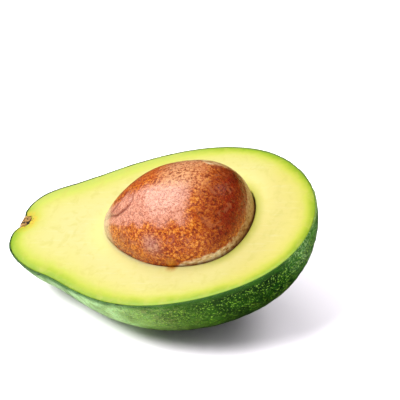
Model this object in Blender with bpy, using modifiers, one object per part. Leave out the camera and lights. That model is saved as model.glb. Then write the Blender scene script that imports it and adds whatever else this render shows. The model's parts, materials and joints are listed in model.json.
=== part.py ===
"""Half of an avocado with its seed, lying on its skin with the cut face up.

Metres, +Z up. The fruit is shaped in a frame of its own: X runs along the fruit from the
stem end to the blunt end, the cut lies in the plane Z = 0 and the half that is kept lies
below it. An empty then tilts the half the way it lies at rest. The origin of the finished
object is the middle of its footprint, on the surface that it rests on.

Four pieces: the skin is a thin shell, the flesh fills it and holds the seed in a hollow,
the seed is whole, so half of it stands proud of the cut, and the woody base of the stem
is cut through lengthwise in its notch.
"""

import math

import bmesh
import bpy
from mathutils import Euler, Vector
from mathutils.geometry import interpolate_bezier

# Outline of the whole fruit: X along it, R out from its axis.
BLUNT_END_X = 0.0568
WIDEST_X = 0.0088
WIDEST_R = 0.0379
NECK_X = -0.0300
NECK_R = 0.0259
NECK_SLOPE = math.radians(28.0)
SHOULDER_X = -0.0547  # crest of the low shoulder around the stem's notch
SHOULDER_R = 0.0055
NOTCH_DEPTH = 0.0018

# Lengths of the curve handles at those points: the longer, the fuller the outline.
BLUNT_END_HANDLE = 0.0202
WIDEST_HANDLE_TO_BLUNT = 0.0282
WIDEST_HANDLE_TO_NECK = 0.0172
NECK_HANDLE_TO_WIDEST = 0.0087
NECK_HANDLE_TO_STEM = 0.0092
SHOULDER_HANDLE_TO_NECK = 0.0120
SHOULDER_HANDLE_TO_NOTCH = 0.0024
NOTCH_HANDLE = 0.0022

# The fruit grew a little lopsided: its centre line, as (x, y), bends and its stem end leans.
CENTRE_LINE = (
    (-0.0540, 0.0013),
    (-0.0380, -0.0006),
    (-0.0150, -0.0006),
    (0.0320, 0.0014),
    (0.0568, 0.0002),
)
STEM_LEAN = 0.10  # shift along X for each metre off the axis
LEAN_STARTS_X = -0.0300
LEAN_FULL_X = -0.0520

# The knife passed this far below the axis, so the half is a little shallower than half.
CUT_BELOW_AXIS = 0.0029
CUT_POINT = (0.0, 0.0, 0.0)
CUT_NORMAL = (0.0, 0.0, 1.0)

SKIN_THICKNESS = 0.0008
PIECE_GAP = 0.0003

# Seed: an egg with its thin end towards the stem, lying a little askew in its hollow.
SEED_CENTRE = (0.0076, 0.0005, 0.0010)
SEED_YAW = math.radians(4.0)
SEED_HALF_LENGTH = 0.0267
SEED_MEAN_R = 0.0198
SEED_EGG = 0.18  # how much thicker the blunt end is than the thin end
SEED_FULLNESS = 2.00  # exponent of the outline: 2 is an ellipse, more is squarer
SEED_EXTRA_FULLNESS = 0.75  # added at the blunt end, taken away at the thin end

# Base of the stem: a short tapered plug.
STEM_OUTER_X = -0.0535
STEM_OUTER_R = 0.0028
STEM_INNER_R = 0.0019
STEM_LENGTH = 0.0034
STEM_CENTRE_Y = 0.0015

# How the half lies: tilted to -Y with the blunt end up, on a small spot pressed flat.
ROLL = math.radians(12.2)
PITCH = math.radians(-14.4)
PRESS_DEPTH = 0.0009

# Points along each stretch of the outline, and steps round a turn.
BLUNT_POINTS = 11
BELLY_POINTS = 9
NECK_POINTS = 10
SHOULDER_POINTS = 5
HALF_TURN_STEPS = 30
SEED_POINTS = 21
SEED_TURN_STEPS = 36
STEM_SEGMENTS = 24
MERGE_DISTANCE = 0.00001
SHARP_ANGLE = math.radians(40.0)


def clear_scene():
    for obj in list(bpy.data.objects):
        bpy.data.objects.remove(obj, do_unlink=True)


def new_collection(name):
    collection = bpy.data.collections.new(name)
    bpy.context.scene.collection.children.link(collection)
    return collection


def new_object(name, mesh, collection):
    obj = bpy.data.objects.new(name, mesh)
    collection.objects.link(obj)
    return obj


def principled(name, colour, roughness):
    material = bpy.data.materials.new(name)
    material.use_nodes = True
    shader = material.node_tree.nodes["Principled BSDF"]
    shader.inputs["Base Color"].default_value = (*colour, 1.0)
    shader.inputs["Roughness"].default_value = roughness
    shader.inputs["Metallic"].default_value = 0.0
    return material


def finish(obj, material):
    obj.data.materials.clear()
    obj.data.materials.append(material)
    obj.data.shade_smooth()
    obj.data.set_sharp_from_angle(angle=SHARP_ANGLE)


def smoothstep(low, high, value):
    share = min(max((value - low) / (high - low), 0.0), 1.0)
    return share * share * (3.0 - 2.0 * share)


# ---------------------------------------------------------------- outlines


def offset_inwards(points, distance):
    """Points (x, r) of an outline that runs from +X to -X and turns about X, moved in."""
    last = len(points) - 1
    moved = []
    for index, point in enumerate(points):
        tangent = points[min(index + 1, last)] - points[max(index - 1, 0)]
        if index == 0:
            tangent = Vector((0.0, 1.0))
        if index == last:
            tangent = Vector((0.0, -1.0))
        tangent.normalize()
        moved.append(point + distance * Vector((-tangent.y, tangent.x)))
    return moved


def fruit_outline(inset):
    """Points (x, r) from the blunt end to the stem's notch, inset in from the skin's outside."""
    along = Vector((1.0, 0.0))
    out = Vector((0.0, 1.0))
    neckwards = Vector((math.cos(NECK_SLOPE), math.sin(NECK_SLOPE)))
    blunt = Vector((BLUNT_END_X, 0.0))
    widest = Vector((WIDEST_X, WIDEST_R))
    neck = Vector((NECK_X, NECK_R))
    shoulder = Vector((SHOULDER_X, SHOULDER_R))
    notch = Vector((SHOULDER_X + NOTCH_DEPTH, 0.0))
    # Start, handle out of it, handle into the end, end, points.
    blunt_stretch = (
        blunt,
        out * BLUNT_END_HANDLE,
        along * WIDEST_HANDLE_TO_BLUNT,
        widest,
        BLUNT_POINTS,
    )
    belly_stretch = (
        widest,
        -along * WIDEST_HANDLE_TO_NECK,
        neckwards * NECK_HANDLE_TO_WIDEST,
        neck,
        BELLY_POINTS,
    )
    neck_stretch = (
        neck,
        -neckwards * NECK_HANDLE_TO_STEM,
        out * SHOULDER_HANDLE_TO_NECK,
        shoulder,
        NECK_POINTS,
    )
    notch_stretch = (
        shoulder,
        -out * SHOULDER_HANDLE_TO_NOTCH,
        out * NOTCH_HANDLE,
        notch,
        SHOULDER_POINTS,
    )
    points = [blunt]
    for stretch in (blunt_stretch, belly_stretch, neck_stretch, notch_stretch):
        start, start_handle, end_handle, end, count = stretch
        curve = interpolate_bezier(start, start + start_handle, end + end_handle, end, count)
        points += curve[1:]
    return offset_inwards(points, inset)


def seed_outline(outset):
    """Points (x, r) about the seed's middle, from its blunt end to its thin end, moved out."""
    points = []
    for index in range(SEED_POINTS):
        share = math.cos(math.pi * index / (SEED_POINTS - 1))  # 1 at the blunt end, -1 at the thin
        fullness = SEED_FULLNESS + SEED_EXTRA_FULLNESS * share
        round_share = math.sqrt(1.0 - min(abs(share) ** fullness, 1.0))
        radius = SEED_MEAN_R * round_share * (1.0 + SEED_EGG * share)
        points.append(Vector((SEED_HALF_LENGTH * share, radius)))
    return offset_inwards(points, -outset)


# ---------------------------------------------------------------- turned meshes


def turned_mesh(name, outline, angle, steps):
    """The outline turned about X. A half turn starts at -Y and passes below."""
    profile = bpy.data.meshes.new(name + "_profile")
    edges = [(i, i + 1) for i in range(len(outline) - 1)]
    profile.from_pydata([(x, -r, 0.0) for x, r in outline], edges, [])
    turned = new_object(name, profile, bpy.context.scene.collection)
    screw = turned.modifiers.new("turn", "SCREW")
    screw.axis = "X"
    screw.angle = angle
    screw.steps = steps
    screw.render_steps = steps
    screw.use_merge_vertices = True
    screw.merge_threshold = MERGE_DISTANCE
    graph = bpy.context.evaluated_depsgraph_get()
    mesh = bpy.data.meshes.new_from_object(turned.evaluated_get(graph))
    mesh.name = name
    bpy.data.objects.remove(turned, do_unlink=True)
    bpy.data.meshes.remove(profile)
    return mesh


def centre_line_y(x):
    """How far the fruit's centre line lies off its axis."""
    y = CENTRE_LINE[0][1]
    for (low, y_low), (high, y_high) in zip(CENTRE_LINE, CENTRE_LINE[1:]):
        if x > low:
            y = y_low + (y_high - y_low) * smoothstep(low, high, x)
    return y


def grow_lopsided(mesh):
    """Leans the stem end of a turned half, bends its centre line and lowers its axis.

    The lowered axis turns each half circle into the arc of a larger circle about a centre
    that lies CUT_BELOW_AXIS above the cut, without moving the rim.
    """
    for vertex in mesh.vertices:
        x, y, z = vertex.co
        lean = STEM_LEAN * smoothstep(-LEAN_STARTS_X, -LEAN_FULL_X, -x)
        depth = math.hypot(z, CUT_BELOW_AXIS) - CUT_BELOW_AXIS
        vertex.co = (x + lean * y, y + centre_line_y(x), -depth)


def press_flat(mesh, up, level):
    """Moves what reaches below level, measured along up, onto the flat spot."""
    for vertex in mesh.vertices:
        depth = level - vertex.co.dot(up)
        if depth > 0.0:
            vertex.co += depth * up


def close_cut_face(mesh):
    """Fills the open edge of a half turn with the cut face."""
    shape = bmesh.new()
    shape.from_mesh(mesh)
    rim = [edge for edge in shape.edges if edge.is_boundary]
    bmesh.ops.holes_fill(shape, edges=rim, sides=0)
    bmesh.ops.recalc_face_normals(shape, faces=shape.faces)
    shape.to_mesh(mesh)
    shape.free()


def half_fruit_mesh(name, inset, up, level):
    mesh = turned_mesh(name, fruit_outline(inset), math.pi, HALF_TURN_STEPS)
    grow_lopsided(mesh)
    press_flat(mesh, up, level)
    return mesh


# ---------------------------------------------------------------- pieces


def stem_plug_mesh(name, outset):
    """Whole tapered plug of the stem's base, outset out from its surface."""
    shape = bmesh.new()
    bmesh.ops.create_cone(
        shape,
        cap_ends=True,
        segments=STEM_SEGMENTS,
        radius1=STEM_OUTER_R + outset,
        radius2=STEM_INNER_R + outset,
        depth=STEM_LENGTH + 2.0 * outset,
    )
    lay_along_x = Euler((0.0, math.pi / 2, 0.0)).to_matrix()
    bmesh.ops.rotate(shape, verts=shape.verts, matrix=lay_along_x)
    middle = Vector((STEM_OUTER_X + STEM_LENGTH / 2, STEM_CENTRE_Y, 0.0))
    bmesh.ops.translate(shape, verts=shape.verts, vec=middle)
    mesh = bpy.data.meshes.new(name)
    shape.to_mesh(mesh)
    shape.free()
    return mesh


def add_cutter(name, mesh, cutters, pose):
    cutter = new_object(name, mesh, cutters)
    cutter.parent = pose
    cutter.display_type = "WIRE"
    cutter.hide_render = True
    return cutter


def cut_out(obj, cutter):
    cut = obj.modifiers.new("cut_" + cutter.name, "BOOLEAN")
    cut.operation = "DIFFERENCE"
    cut.object = cutter


def make_skin(pieces, pose, up, level):
    mesh = half_fruit_mesh("skin", 0.0, up, level)
    inside = half_fruit_mesh("skin_inside", SKIN_THICKNESS, up, level + SKIN_THICKNESS)
    shape = bmesh.new()
    shape.from_mesh(inside)
    bmesh.ops.reverse_faces(shape, faces=shape.faces)
    shape.from_mesh(mesh)
    rims = [edge for edge in shape.edges if edge.is_boundary]
    bmesh.ops.bridge_loops(shape, edges=rims)
    shape.to_mesh(mesh)
    shape.free()
    bpy.data.meshes.remove(inside)
    skin = new_object("skin", mesh, pieces)
    skin.parent = pose
    finish(skin, principled("skin_green", (0.085, 0.190, 0.025), 0.38))
    return skin


def make_flesh(pieces, pose, up, level):
    under_skin = SKIN_THICKNESS + PIECE_GAP
    mesh = half_fruit_mesh("flesh", under_skin, up, level + under_skin)
    close_cut_face(mesh)
    flesh = new_object("flesh", mesh, pieces)
    flesh.parent = pose
    finish(flesh, principled("flesh_yellow", (0.880, 0.790, 0.270), 0.45))
    return flesh


def place_as_seed(obj):
    obj.location = SEED_CENTRE
    obj.rotation_euler = (0.0, 0.0, SEED_YAW)


def make_seed(pieces, pose):
    mesh = turned_mesh("seed", seed_outline(0.0), math.tau, SEED_TURN_STEPS)
    seed = new_object("seed", mesh, pieces)
    seed.parent = pose
    place_as_seed(seed)
    finish(seed, principled("seed_brown", (0.330, 0.105, 0.030), 0.42))
    return seed


def make_stem_base(pieces, pose):
    mesh = stem_plug_mesh("stem_base", 0.0)
    shape = bmesh.new()
    shape.from_mesh(mesh)
    everything = shape.verts[:] + shape.edges[:] + shape.faces[:]
    bmesh.ops.bisect_plane(
        shape, geom=everything, plane_co=CUT_POINT, plane_no=CUT_NORMAL, clear_outer=True
    )
    shape.to_mesh(mesh)
    shape.free()
    close_cut_face(mesh)
    stem_base = new_object("stem_base", mesh, pieces)
    stem_base.parent = pose
    finish(stem_base, principled("stem_brown", (0.330, 0.170, 0.060), 0.70))
    return stem_base


def world_corners(objects):
    """Lowest and highest corner of the objects as they are evaluated."""
    graph = bpy.context.evaluated_depsgraph_get()
    points = []
    for obj in objects:
        evaluated = obj.evaluated_get(graph)
        mesh = evaluated.to_mesh()
        points += [evaluated.matrix_world @ vertex.co for vertex in mesh.vertices]
        evaluated.to_mesh_clear()
    low = Vector([min(point[axis] for point in points) for axis in range(3)])
    high = Vector([max(point[axis] for point in points) for axis in range(3)])
    return low, high


def main():
    clear_scene()
    pieces = new_collection("avocado_half")
    cutters = new_collection("cutters")

    pose = bpy.data.objects.new("lying_pose", None)
    pieces.objects.link(pose)
    pose.rotation_euler = (ROLL, PITCH, 0.0)
    up = pose.rotation_euler.to_matrix().transposed() @ Vector((0.0, 0.0, 1.0))

    unpressed = turned_mesh("unpressed", fruit_outline(0.0), math.pi, HALF_TURN_STEPS)
    grow_lopsided(unpressed)
    level = min(vertex.co.dot(up) for vertex in unpressed.vertices) + PRESS_DEPTH
    bpy.data.meshes.remove(unpressed)

    skin = make_skin(pieces, pose, up, level)
    flesh = make_flesh(pieces, pose, up, level)
    seed = make_seed(pieces, pose)
    stem_base = make_stem_base(pieces, pose)

    hollow_mesh = turned_mesh("seed_hollow", seed_outline(PIECE_GAP), math.tau, SEED_TURN_STEPS)
    seed_hollow = add_cutter("seed_hollow", hollow_mesh, cutters, pose)
    place_as_seed(seed_hollow)
    stem_socket = add_cutter("stem_socket", stem_plug_mesh("stem_socket", PIECE_GAP), cutters, pose)
    cut_out(flesh, seed_hollow)
    cut_out(flesh, stem_socket)
    cut_out(skin, stem_socket)

    bpy.context.view_layer.update()
    low, high = world_corners((skin, flesh, seed, stem_base))
    pose.location = (-(low.x + high.x) / 2, -(low.y + high.y) / 2, -low.z)
    bpy.context.view_layer.update()


main()
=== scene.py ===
"""Finish of an avocado half that lies on its skin, with its seed in the hollow.

Metres, +Z up. Each piece is shaped in the fruit's own frame, where X runs along the fruit
from the stem end to the blunt end and the cut lies in the plane Z = 0, and is then laid
down the way the half rests. The seed is shaped about its own middle first, with its axis
on X. Every piece replaces the plain solid of the same name in the frame.
"""

import json
import math
from types import SimpleNamespace

import bmesh
import bpy
from mathutils import Euler, Matrix, Vector, noise
from mathutils.geometry import interpolate_bezier
from mathutils.kdtree import KDTree

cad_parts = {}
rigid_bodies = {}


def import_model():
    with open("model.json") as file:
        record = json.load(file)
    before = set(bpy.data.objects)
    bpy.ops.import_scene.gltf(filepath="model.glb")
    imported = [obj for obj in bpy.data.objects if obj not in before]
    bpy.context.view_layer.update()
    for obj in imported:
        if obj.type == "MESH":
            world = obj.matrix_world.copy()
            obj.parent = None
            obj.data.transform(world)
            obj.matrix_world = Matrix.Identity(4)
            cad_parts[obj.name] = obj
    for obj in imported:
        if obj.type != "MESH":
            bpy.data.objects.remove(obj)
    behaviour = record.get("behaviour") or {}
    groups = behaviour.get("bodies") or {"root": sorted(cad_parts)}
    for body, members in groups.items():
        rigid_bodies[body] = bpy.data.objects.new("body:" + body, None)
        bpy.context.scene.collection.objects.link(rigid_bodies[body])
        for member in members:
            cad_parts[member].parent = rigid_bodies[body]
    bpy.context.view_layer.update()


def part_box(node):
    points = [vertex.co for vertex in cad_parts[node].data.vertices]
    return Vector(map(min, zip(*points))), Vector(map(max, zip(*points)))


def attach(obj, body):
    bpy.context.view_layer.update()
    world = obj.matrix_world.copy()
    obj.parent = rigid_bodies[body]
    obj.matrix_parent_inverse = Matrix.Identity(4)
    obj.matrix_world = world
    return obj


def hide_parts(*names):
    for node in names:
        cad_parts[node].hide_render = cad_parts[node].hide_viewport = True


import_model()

MM = 0.001

# -------- sizes shared with the frame

# Outline of the whole fruit: X along it, R out from its axis.
BLUNT_END_X = 0.0568
WIDEST_X = 0.0088
WIDEST_R = 0.0379
NECK_X = -0.0300
NECK_R = 0.0259
NECK_SLOPE = math.radians(28.0)
SHOULDER_X = -0.0547
SHOULDER_R = 0.0055
NOTCH_DEPTH = 0.0018

BLUNT_END_HANDLE = 0.0202
WIDEST_HANDLE_TO_BLUNT = 0.0282
WIDEST_HANDLE_TO_NECK = 0.0172
NECK_HANDLE_TO_WIDEST = 0.0087
NECK_HANDLE_TO_STEM = 0.0092
SHOULDER_HANDLE_TO_NECK = 0.0120
SHOULDER_HANDLE_TO_NOTCH = 0.0024
NOTCH_HANDLE = 0.0022

BLUNT_SPANS = 10
BELLY_SPANS = 8
NECK_SPANS = 9
SHOULDER_SPANS = 4
FRAME_TURN_STEPS = 30

# The fruit's centre line wanders off its axis: (x, y).
CENTRE_LINE = (
    (-0.0540, 0.0013),
    (-0.0380, -0.0006),
    (-0.0150, -0.0006),
    (0.0320, 0.0014),
    (0.0568, 0.0002),
)
STEM_LEAN = 0.10
LEAN_STARTS_X = -0.0300
LEAN_FULL_X = -0.0520

CUT_BELOW_AXIS = 0.0029
SKIN_THICKNESS = 0.0008

SEED_CENTRE = Vector((0.0076, 0.0005, 0.0010))
SEED_YAW = math.radians(4.0)
SEED_HALF_LENGTH = 0.0267
SEED_MEAN_R = 0.0198
SEED_EGG = 0.18
SEED_FULLNESS = 2.00
SEED_EXTRA_FULLNESS = 0.75

STEM_OUTER_X = -0.0535
STEM_OUTER_R = 0.0028
STEM_INNER_R = 0.0019
STEM_LENGTH = 0.0034
STEM_CENTRE_Y = 0.0015

ROLL = math.radians(12.2)
PITCH = math.radians(-14.4)
TURN = Euler((ROLL, PITCH, 0.0)).to_matrix()

# -------- fineness of the meshes

FINENESS = 9  # spans of an outline here for each span of the frame's
SKIN_TURN_STEPS = 230
INSIDE_TURN_STEPS = 24
HOLLOW_TURN_STEPS = 44
FACE_RINGS = 56
SEED_SPANS = 210
SEED_TURN_STEPS = 320
MERGE_DISTANCE = 1e-7


# -------- plain helpers


def smoothstep(low, high, value):
    share = min(max((value - low) / (high - low), 0.0), 1.0)
    return share * share * (3.0 - 2.0 * share)


def mix(first, second, share):
    return first + (second - first) * share


def bell(distance, width):
    """1 at no distance, falling to nothing over about twice the width."""
    return math.exp(-((distance / width) ** 2))


def grain(point, size, seed=0.0):
    """Smooth noise between -1 and 1 with swells of about this size."""
    return noise.noise(point / size + Vector((seed, 2.0 * seed, -seed)))


# -------- outlines


def offset_inwards(points, distance):
    """Points (x, r) of an outline that runs from +X to -X and turns about X, moved in."""
    last = len(points) - 1
    moved = []
    for index, point in enumerate(points):
        tangent = points[min(index + 1, last)] - points[max(index - 1, 0)]
        if index == 0:
            tangent = Vector((0.0, 1.0))
        if index == last:
            tangent = Vector((0.0, -1.0))
        tangent.normalize()
        moved.append(point + distance * Vector((-tangent.y, tangent.x)))
    return moved


def fruit_outline(inset, fineness=FINENESS):
    """Points (x, r) from the blunt end to the stem's notch, inset in from the frame's outside."""
    along = Vector((1.0, 0.0))
    out = Vector((0.0, 1.0))
    neckwards = Vector((math.cos(NECK_SLOPE), math.sin(NECK_SLOPE)))
    blunt = Vector((BLUNT_END_X, 0.0))
    widest = Vector((WIDEST_X, WIDEST_R))
    neck = Vector((NECK_X, NECK_R))
    shoulder = Vector((SHOULDER_X, SHOULDER_R))
    notch = Vector((SHOULDER_X + NOTCH_DEPTH, 0.0))
    # Start, handle out of it, handle into the end, end, spans.
    stretches = (
        (blunt, out * BLUNT_END_HANDLE, along * WIDEST_HANDLE_TO_BLUNT, widest, BLUNT_SPANS),
        (
            widest,
            -along * WIDEST_HANDLE_TO_NECK,
            neckwards * NECK_HANDLE_TO_WIDEST,
            neck,
            BELLY_SPANS,
        ),
        (
            neck,
            -neckwards * NECK_HANDLE_TO_STEM,
            out * SHOULDER_HANDLE_TO_NECK,
            shoulder,
            NECK_SPANS,
        ),
        (
            shoulder,
            -out * SHOULDER_HANDLE_TO_NOTCH,
            out * NOTCH_HANDLE,
            notch,
            SHOULDER_SPANS,
        ),
    )
    points = [blunt]
    for start, start_handle, end_handle, end, spans in stretches:
        count = spans * fineness + 1
        curve = interpolate_bezier(start, start + start_handle, end + end_handle, end, count)
        points += curve[1:]
    return offset_inwards(points, inset)


def seed_radius(share, outset):
    """Radius of the seed at this share of its half length, 1 at the blunt end, -1 at the thin."""
    fullness = SEED_FULLNESS + SEED_EXTRA_FULLNESS * share
    round_share = math.sqrt(1.0 - min(abs(share) ** fullness, 1.0))
    return (SEED_MEAN_R + outset) * round_share * (1.0 + SEED_EGG * share)


def seed_outline(outset, spans):
    """Points (x, r) about the seed's middle, from its blunt end to its thin end."""
    points = []
    for index in range(spans + 1):
        share = math.cos(math.pi * index / spans)
        points.append(Vector(((SEED_HALF_LENGTH + outset) * share, seed_radius(share, outset))))
    return points


def hollow_outline(outset, spans):
    """Points (x, r) of the hollow's edge in the cut, which passes below the seed's axis."""
    below = SEED_CENTRE.z
    ends = []
    for end in (1.0, -1.0):
        slope = math.sqrt((SEED_FULLNESS + end * SEED_EXTRA_FULLNESS) / 2.0)
        ends.append(below / (SEED_MEAN_R * (1.0 + end * SEED_EGG) * slope))
    points = []
    for index in range(spans + 1):
        share = math.cos(mix(ends[0], math.pi - ends[1], index / spans))
        reach = seed_radius(share, outset) ** 2 - below**2
        points.append(Vector(((SEED_HALF_LENGTH + outset) * share, math.sqrt(max(reach, 0.0)))))
    points[0].y = 0.0
    points[-1].y = 0.0
    return points


# -------- shaping


def turn_outline(shape, outline, angle, steps, facing_in=False):
    """Adds the outline turned about X to the shape. A half turn starts at -Y and passes below."""
    whole_turn = angle > 1.5 * math.pi
    before = set(shape.verts)
    points = [shape.verts.new((x, -r, 0.0)) for x, r in outline]
    edges = [shape.edges.new(pair) for pair in zip(points, points[1:])]
    bmesh.ops.spin(
        shape,
        geom=points + edges,
        cent=(0.0, 0.0, 0.0),
        axis=(1.0, 0.0, 0.0),
        angle=angle,
        steps=steps,
        use_merge=whole_turn,
    )
    turned = [vertex for vertex in shape.verts if vertex not in before]
    bmesh.ops.remove_doubles(shape, verts=turned, dist=MERGE_DISTANCE)
    turned = [vertex for vertex in shape.verts if vertex not in before]
    if facing_in:
        faces = {face for vertex in turned for face in vertex.link_faces}
        bmesh.ops.reverse_faces(shape, faces=list(faces))
    return turned


def centre_line_y(x):
    """How far the fruit's centre line lies off its axis."""
    y = CENTRE_LINE[0][1]
    for (low, y_low), (high, y_high) in zip(CENTRE_LINE, CENTRE_LINE[1:]):
        if x > low:
            y = mix(y_low, y_high, smoothstep(low, high, x))
    return y


def lean_at(x):
    """How far the stem end leans over here, for each metre out from the axis."""
    return STEM_LEAN * smoothstep(-LEAN_STARTS_X, -LEAN_FULL_X, -x)


def sunk(z, below):
    """Height of a point of a half circle after its centre is raised, the rim unmoved."""
    return below - math.hypot(z, below)


def grow_lopsided(vertices):
    """Leans the stem end of a turned half, bends its centre line and lowers its axis."""
    for vertex in vertices:
        x, y, z = vertex.co
        vertex.co = (x + lean_at(x) * y, y + centre_line_y(x), sunk(z, CUT_BELOW_AXIS))


def face_outwards(shape):
    """Turns every face of a closed shape outwards."""
    bmesh.ops.recalc_face_normals(shape, faces=shape.faces)
    if shape.calc_volume(signed=True) < 0.0:
        bmesh.ops.reverse_faces(shape, faces=shape.faces)
    shape.normal_update()


def mesh_from(shape, name):
    mesh = bpy.data.meshes.new(name)
    shape.to_mesh(mesh)
    shape.free()
    return mesh


def world_box(vertices):
    """Lowest and highest corner of the vertices once they are turned the way the half lies."""
    points = [TURN @ vertex.co for vertex in vertices]
    low = Vector([min(point[axis] for point in points) for axis in range(3)])
    high = Vector([max(point[axis] for point in points) for axis in range(3)])
    return low, high


def find_lying_point():
    """Where the fruit's own origin lies in the frame, from the box of the frame's skin."""
    shape = bmesh.new()
    turn_outline(shape, fruit_outline(0.0, 1), math.pi, FRAME_TURN_STEPS)
    grow_lopsided(shape.verts)
    low, high = world_box(shape.verts)
    shape.free()
    skin_low, skin_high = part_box("skin")
    place = (skin_low + skin_high - low - high) / 2
    place.z = skin_high.z - high.z
    return place


LYING_POINT = find_lying_point()


def lay_down(mesh):
    """Moves a mesh from the fruit's frame to where it lies, pressed flat where it rests."""
    for vertex in mesh.vertices:
        vertex.co = TURN @ vertex.co + LYING_POINT
        vertex.co.z = max(vertex.co.z, 0.0)


def store(mesh, name, values):
    """Keeps one value for each vertex, for a finish to read."""
    layer = mesh.attributes.new(name, "FLOAT", "POINT")
    layer.data.foreach_set("value", values)


def add_piece(name, mesh, material, node):
    mesh.materials.clear()
    mesh.materials.append(material)
    mesh.shade_smooth()
    piece = bpy.data.objects.new(name, mesh)
    bpy.context.scene.collection.objects.link(piece)
    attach(piece, "root")
    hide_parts(node)
    return piece


def cut_away(mesh, cutter_mesh):
    """The mesh with the cutter's shape taken out of it."""
    scene_objects = bpy.context.scene.collection.objects
    body = bpy.data.objects.new("body", mesh)
    cutter = bpy.data.objects.new("cutter", cutter_mesh)
    scene_objects.link(body)
    scene_objects.link(cutter)
    cut = body.modifiers.new("cut", "BOOLEAN")
    cut.operation = "DIFFERENCE"
    cut.solver = "MANIFOLD"
    cut.object = cutter
    graph = bpy.context.evaluated_depsgraph_get()
    result = bpy.data.meshes.new_from_object(body.evaluated_get(graph))
    for obj in (body, cutter):
        bpy.data.objects.remove(obj, do_unlink=True)
    return result


def edge_points(outline, place):
    """Both sides of an outline in the plane of the cut, as a tree for finding distances."""
    sides = [Vector((x, side * r, 0.0)) for x, r in outline for side in (-1.0, 1.0)]
    tree = KDTree(len(sides))
    for index, point in enumerate(sides):
        tree.insert(place(point), index)
    tree.balance()
    return tree


def place_on_fruit(point):
    x, y, z = point
    return Vector((x + lean_at(x) * y, y + centre_line_y(x), z))


SEED_PLACE = Matrix.Translation(SEED_CENTRE) @ Matrix.Rotation(SEED_YAW, 4, "Z")


def place_in_hollow(point):
    placed = SEED_PLACE @ point
    placed.z = point.z
    return placed


# -------- relief of the cut

RIM_DROP = 0.45 * MM  # the knife pulled the rim down this far, softly
RIM_DROP_WIDTH = 3.2 * MM
FAR_RIM_SHARE = 0.45
SIDE_FADE = 12.0 * MM
WAVE_HEIGHT = 0.07 * MM
WAVE_SIZE = 9.0 * MM
CHATTER_SIZE = 2.6 * MM
CHATTER_SHARE = 0.35


def in_cut_plane(point):
    return Vector((point.x, point.y, 0.0))


def near_cut(shape):
    """Vertices close below the cut, each with its share of what happens to the cut above it."""
    for vertex in shape.verts:
        if vertex.co.z > -RIM_DROP_WIDTH:
            yield vertex, smoothstep(-RIM_DROP_WIDTH, 0.0, vertex.co.z)


def rim_drop(from_edge, y):
    """How far the cut sinks near the rim, more on the side at -Y, which the knife left last."""
    side = mix(FAR_RIM_SHARE, 1.0, smoothstep(SIDE_FADE, -SIDE_FADE, y))
    return RIM_DROP * side * (1.0 - smoothstep(0.0, RIM_DROP_WIDTH, from_edge))


def knife_waves(point):
    """Long shallow waves across the fruit and a finer chatter, as a knife leaves them."""
    flat = Vector((point.x, point.y * 0.35, 0.0))
    return WAVE_HEIGHT * (grain(flat, WAVE_SIZE, 1.0) + CHATTER_SHARE * grain(flat, CHATTER_SIZE, 2.0))


# -------- skin

SKIN_INSET = 0.05 * MM
LUMP_DEPTH = 0.24 * MM
LUMP_SIZE = 5.5 * MM
PEBBLE_DEPTH = 0.15 * MM
PEBBLE_SIZE = 2.3 * MM
FINE_DEPTH = 0.03 * MM
FINE_SIZE = 1.0 * MM
NECK_PEBBLE_SHARE = 0.35
BLUNT_PEBBLE_SHARE = 2.4
RIM_BEVEL = 0.20 * MM
RIM_BEVEL_STEPS = 3


def skin_relief(point):
    """How far the skin dips below its smooth outside here."""
    lumps = 0.5 + 0.5 * grain(point, LUMP_SIZE, 3.0)
    nearest = noise.voronoi(point / PEBBLE_SIZE)[0][0]
    pebbles = min(nearest, 1.0) ** 2
    pebbles *= mix(NECK_PEBBLE_SHARE, 1.0, smoothstep(-45.0 * MM, 35.0 * MM, point.x))
    pebbles *= mix(1.0, BLUNT_PEBBLE_SHARE, smoothstep(40.0 * MM, 53.0 * MM, point.x))
    fine = 0.5 + 0.5 * grain(point, FINE_SIZE, 5.0)
    return LUMP_DEPTH * lumps + PEBBLE_DEPTH * pebbles + FINE_DEPTH * fine


def make_skin(material, socket):
    """Thin shell round the flesh, pebbled outside, with its cut edge rounded."""
    shape = bmesh.new()
    outside = turn_outline(shape, fruit_outline(SKIN_INSET), math.pi, SKIN_TURN_STEPS)
    outer_rim = [edge for edge in shape.edges if edge.is_boundary]
    turn_outline(shape, fruit_outline(SKIN_THICKNESS), math.pi, INSIDE_TURN_STEPS, facing_in=True)
    grow_lopsided(shape.verts)
    bmesh.ops.bridge_loops(shape, edges=[edge for edge in shape.edges if edge.is_boundary])
    face_outwards(shape)
    dips = [vertex.normal * skin_relief(vertex.co) for vertex in outside]
    for vertex, dip in zip(outside, dips):
        vertex.co -= dip
    bmesh.ops.bevel(
        shape,
        geom=outer_rim,
        offset=RIM_BEVEL,
        segments=RIM_BEVEL_STEPS,
        affect="EDGES",
        profile=0.5,
        material=-1,
    )
    edge = edge_points(fruit_outline(0.0), place_on_fruit)
    for vertex, fade in near_cut(shape):
        from_edge = edge.find(in_cut_plane(vertex.co))[2]
        vertex.co.z -= fade * rim_drop(from_edge, vertex.co.y)
    face_outwards(shape)
    mesh = cut_away(mesh_from(shape, "peel"), socket)
    store(mesh, "below_rim", [-vertex.co.z / MM for vertex in mesh.vertices])
    lay_down(mesh)
    return add_piece("peel", mesh, material, "skin")


# -------- flesh

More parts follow.
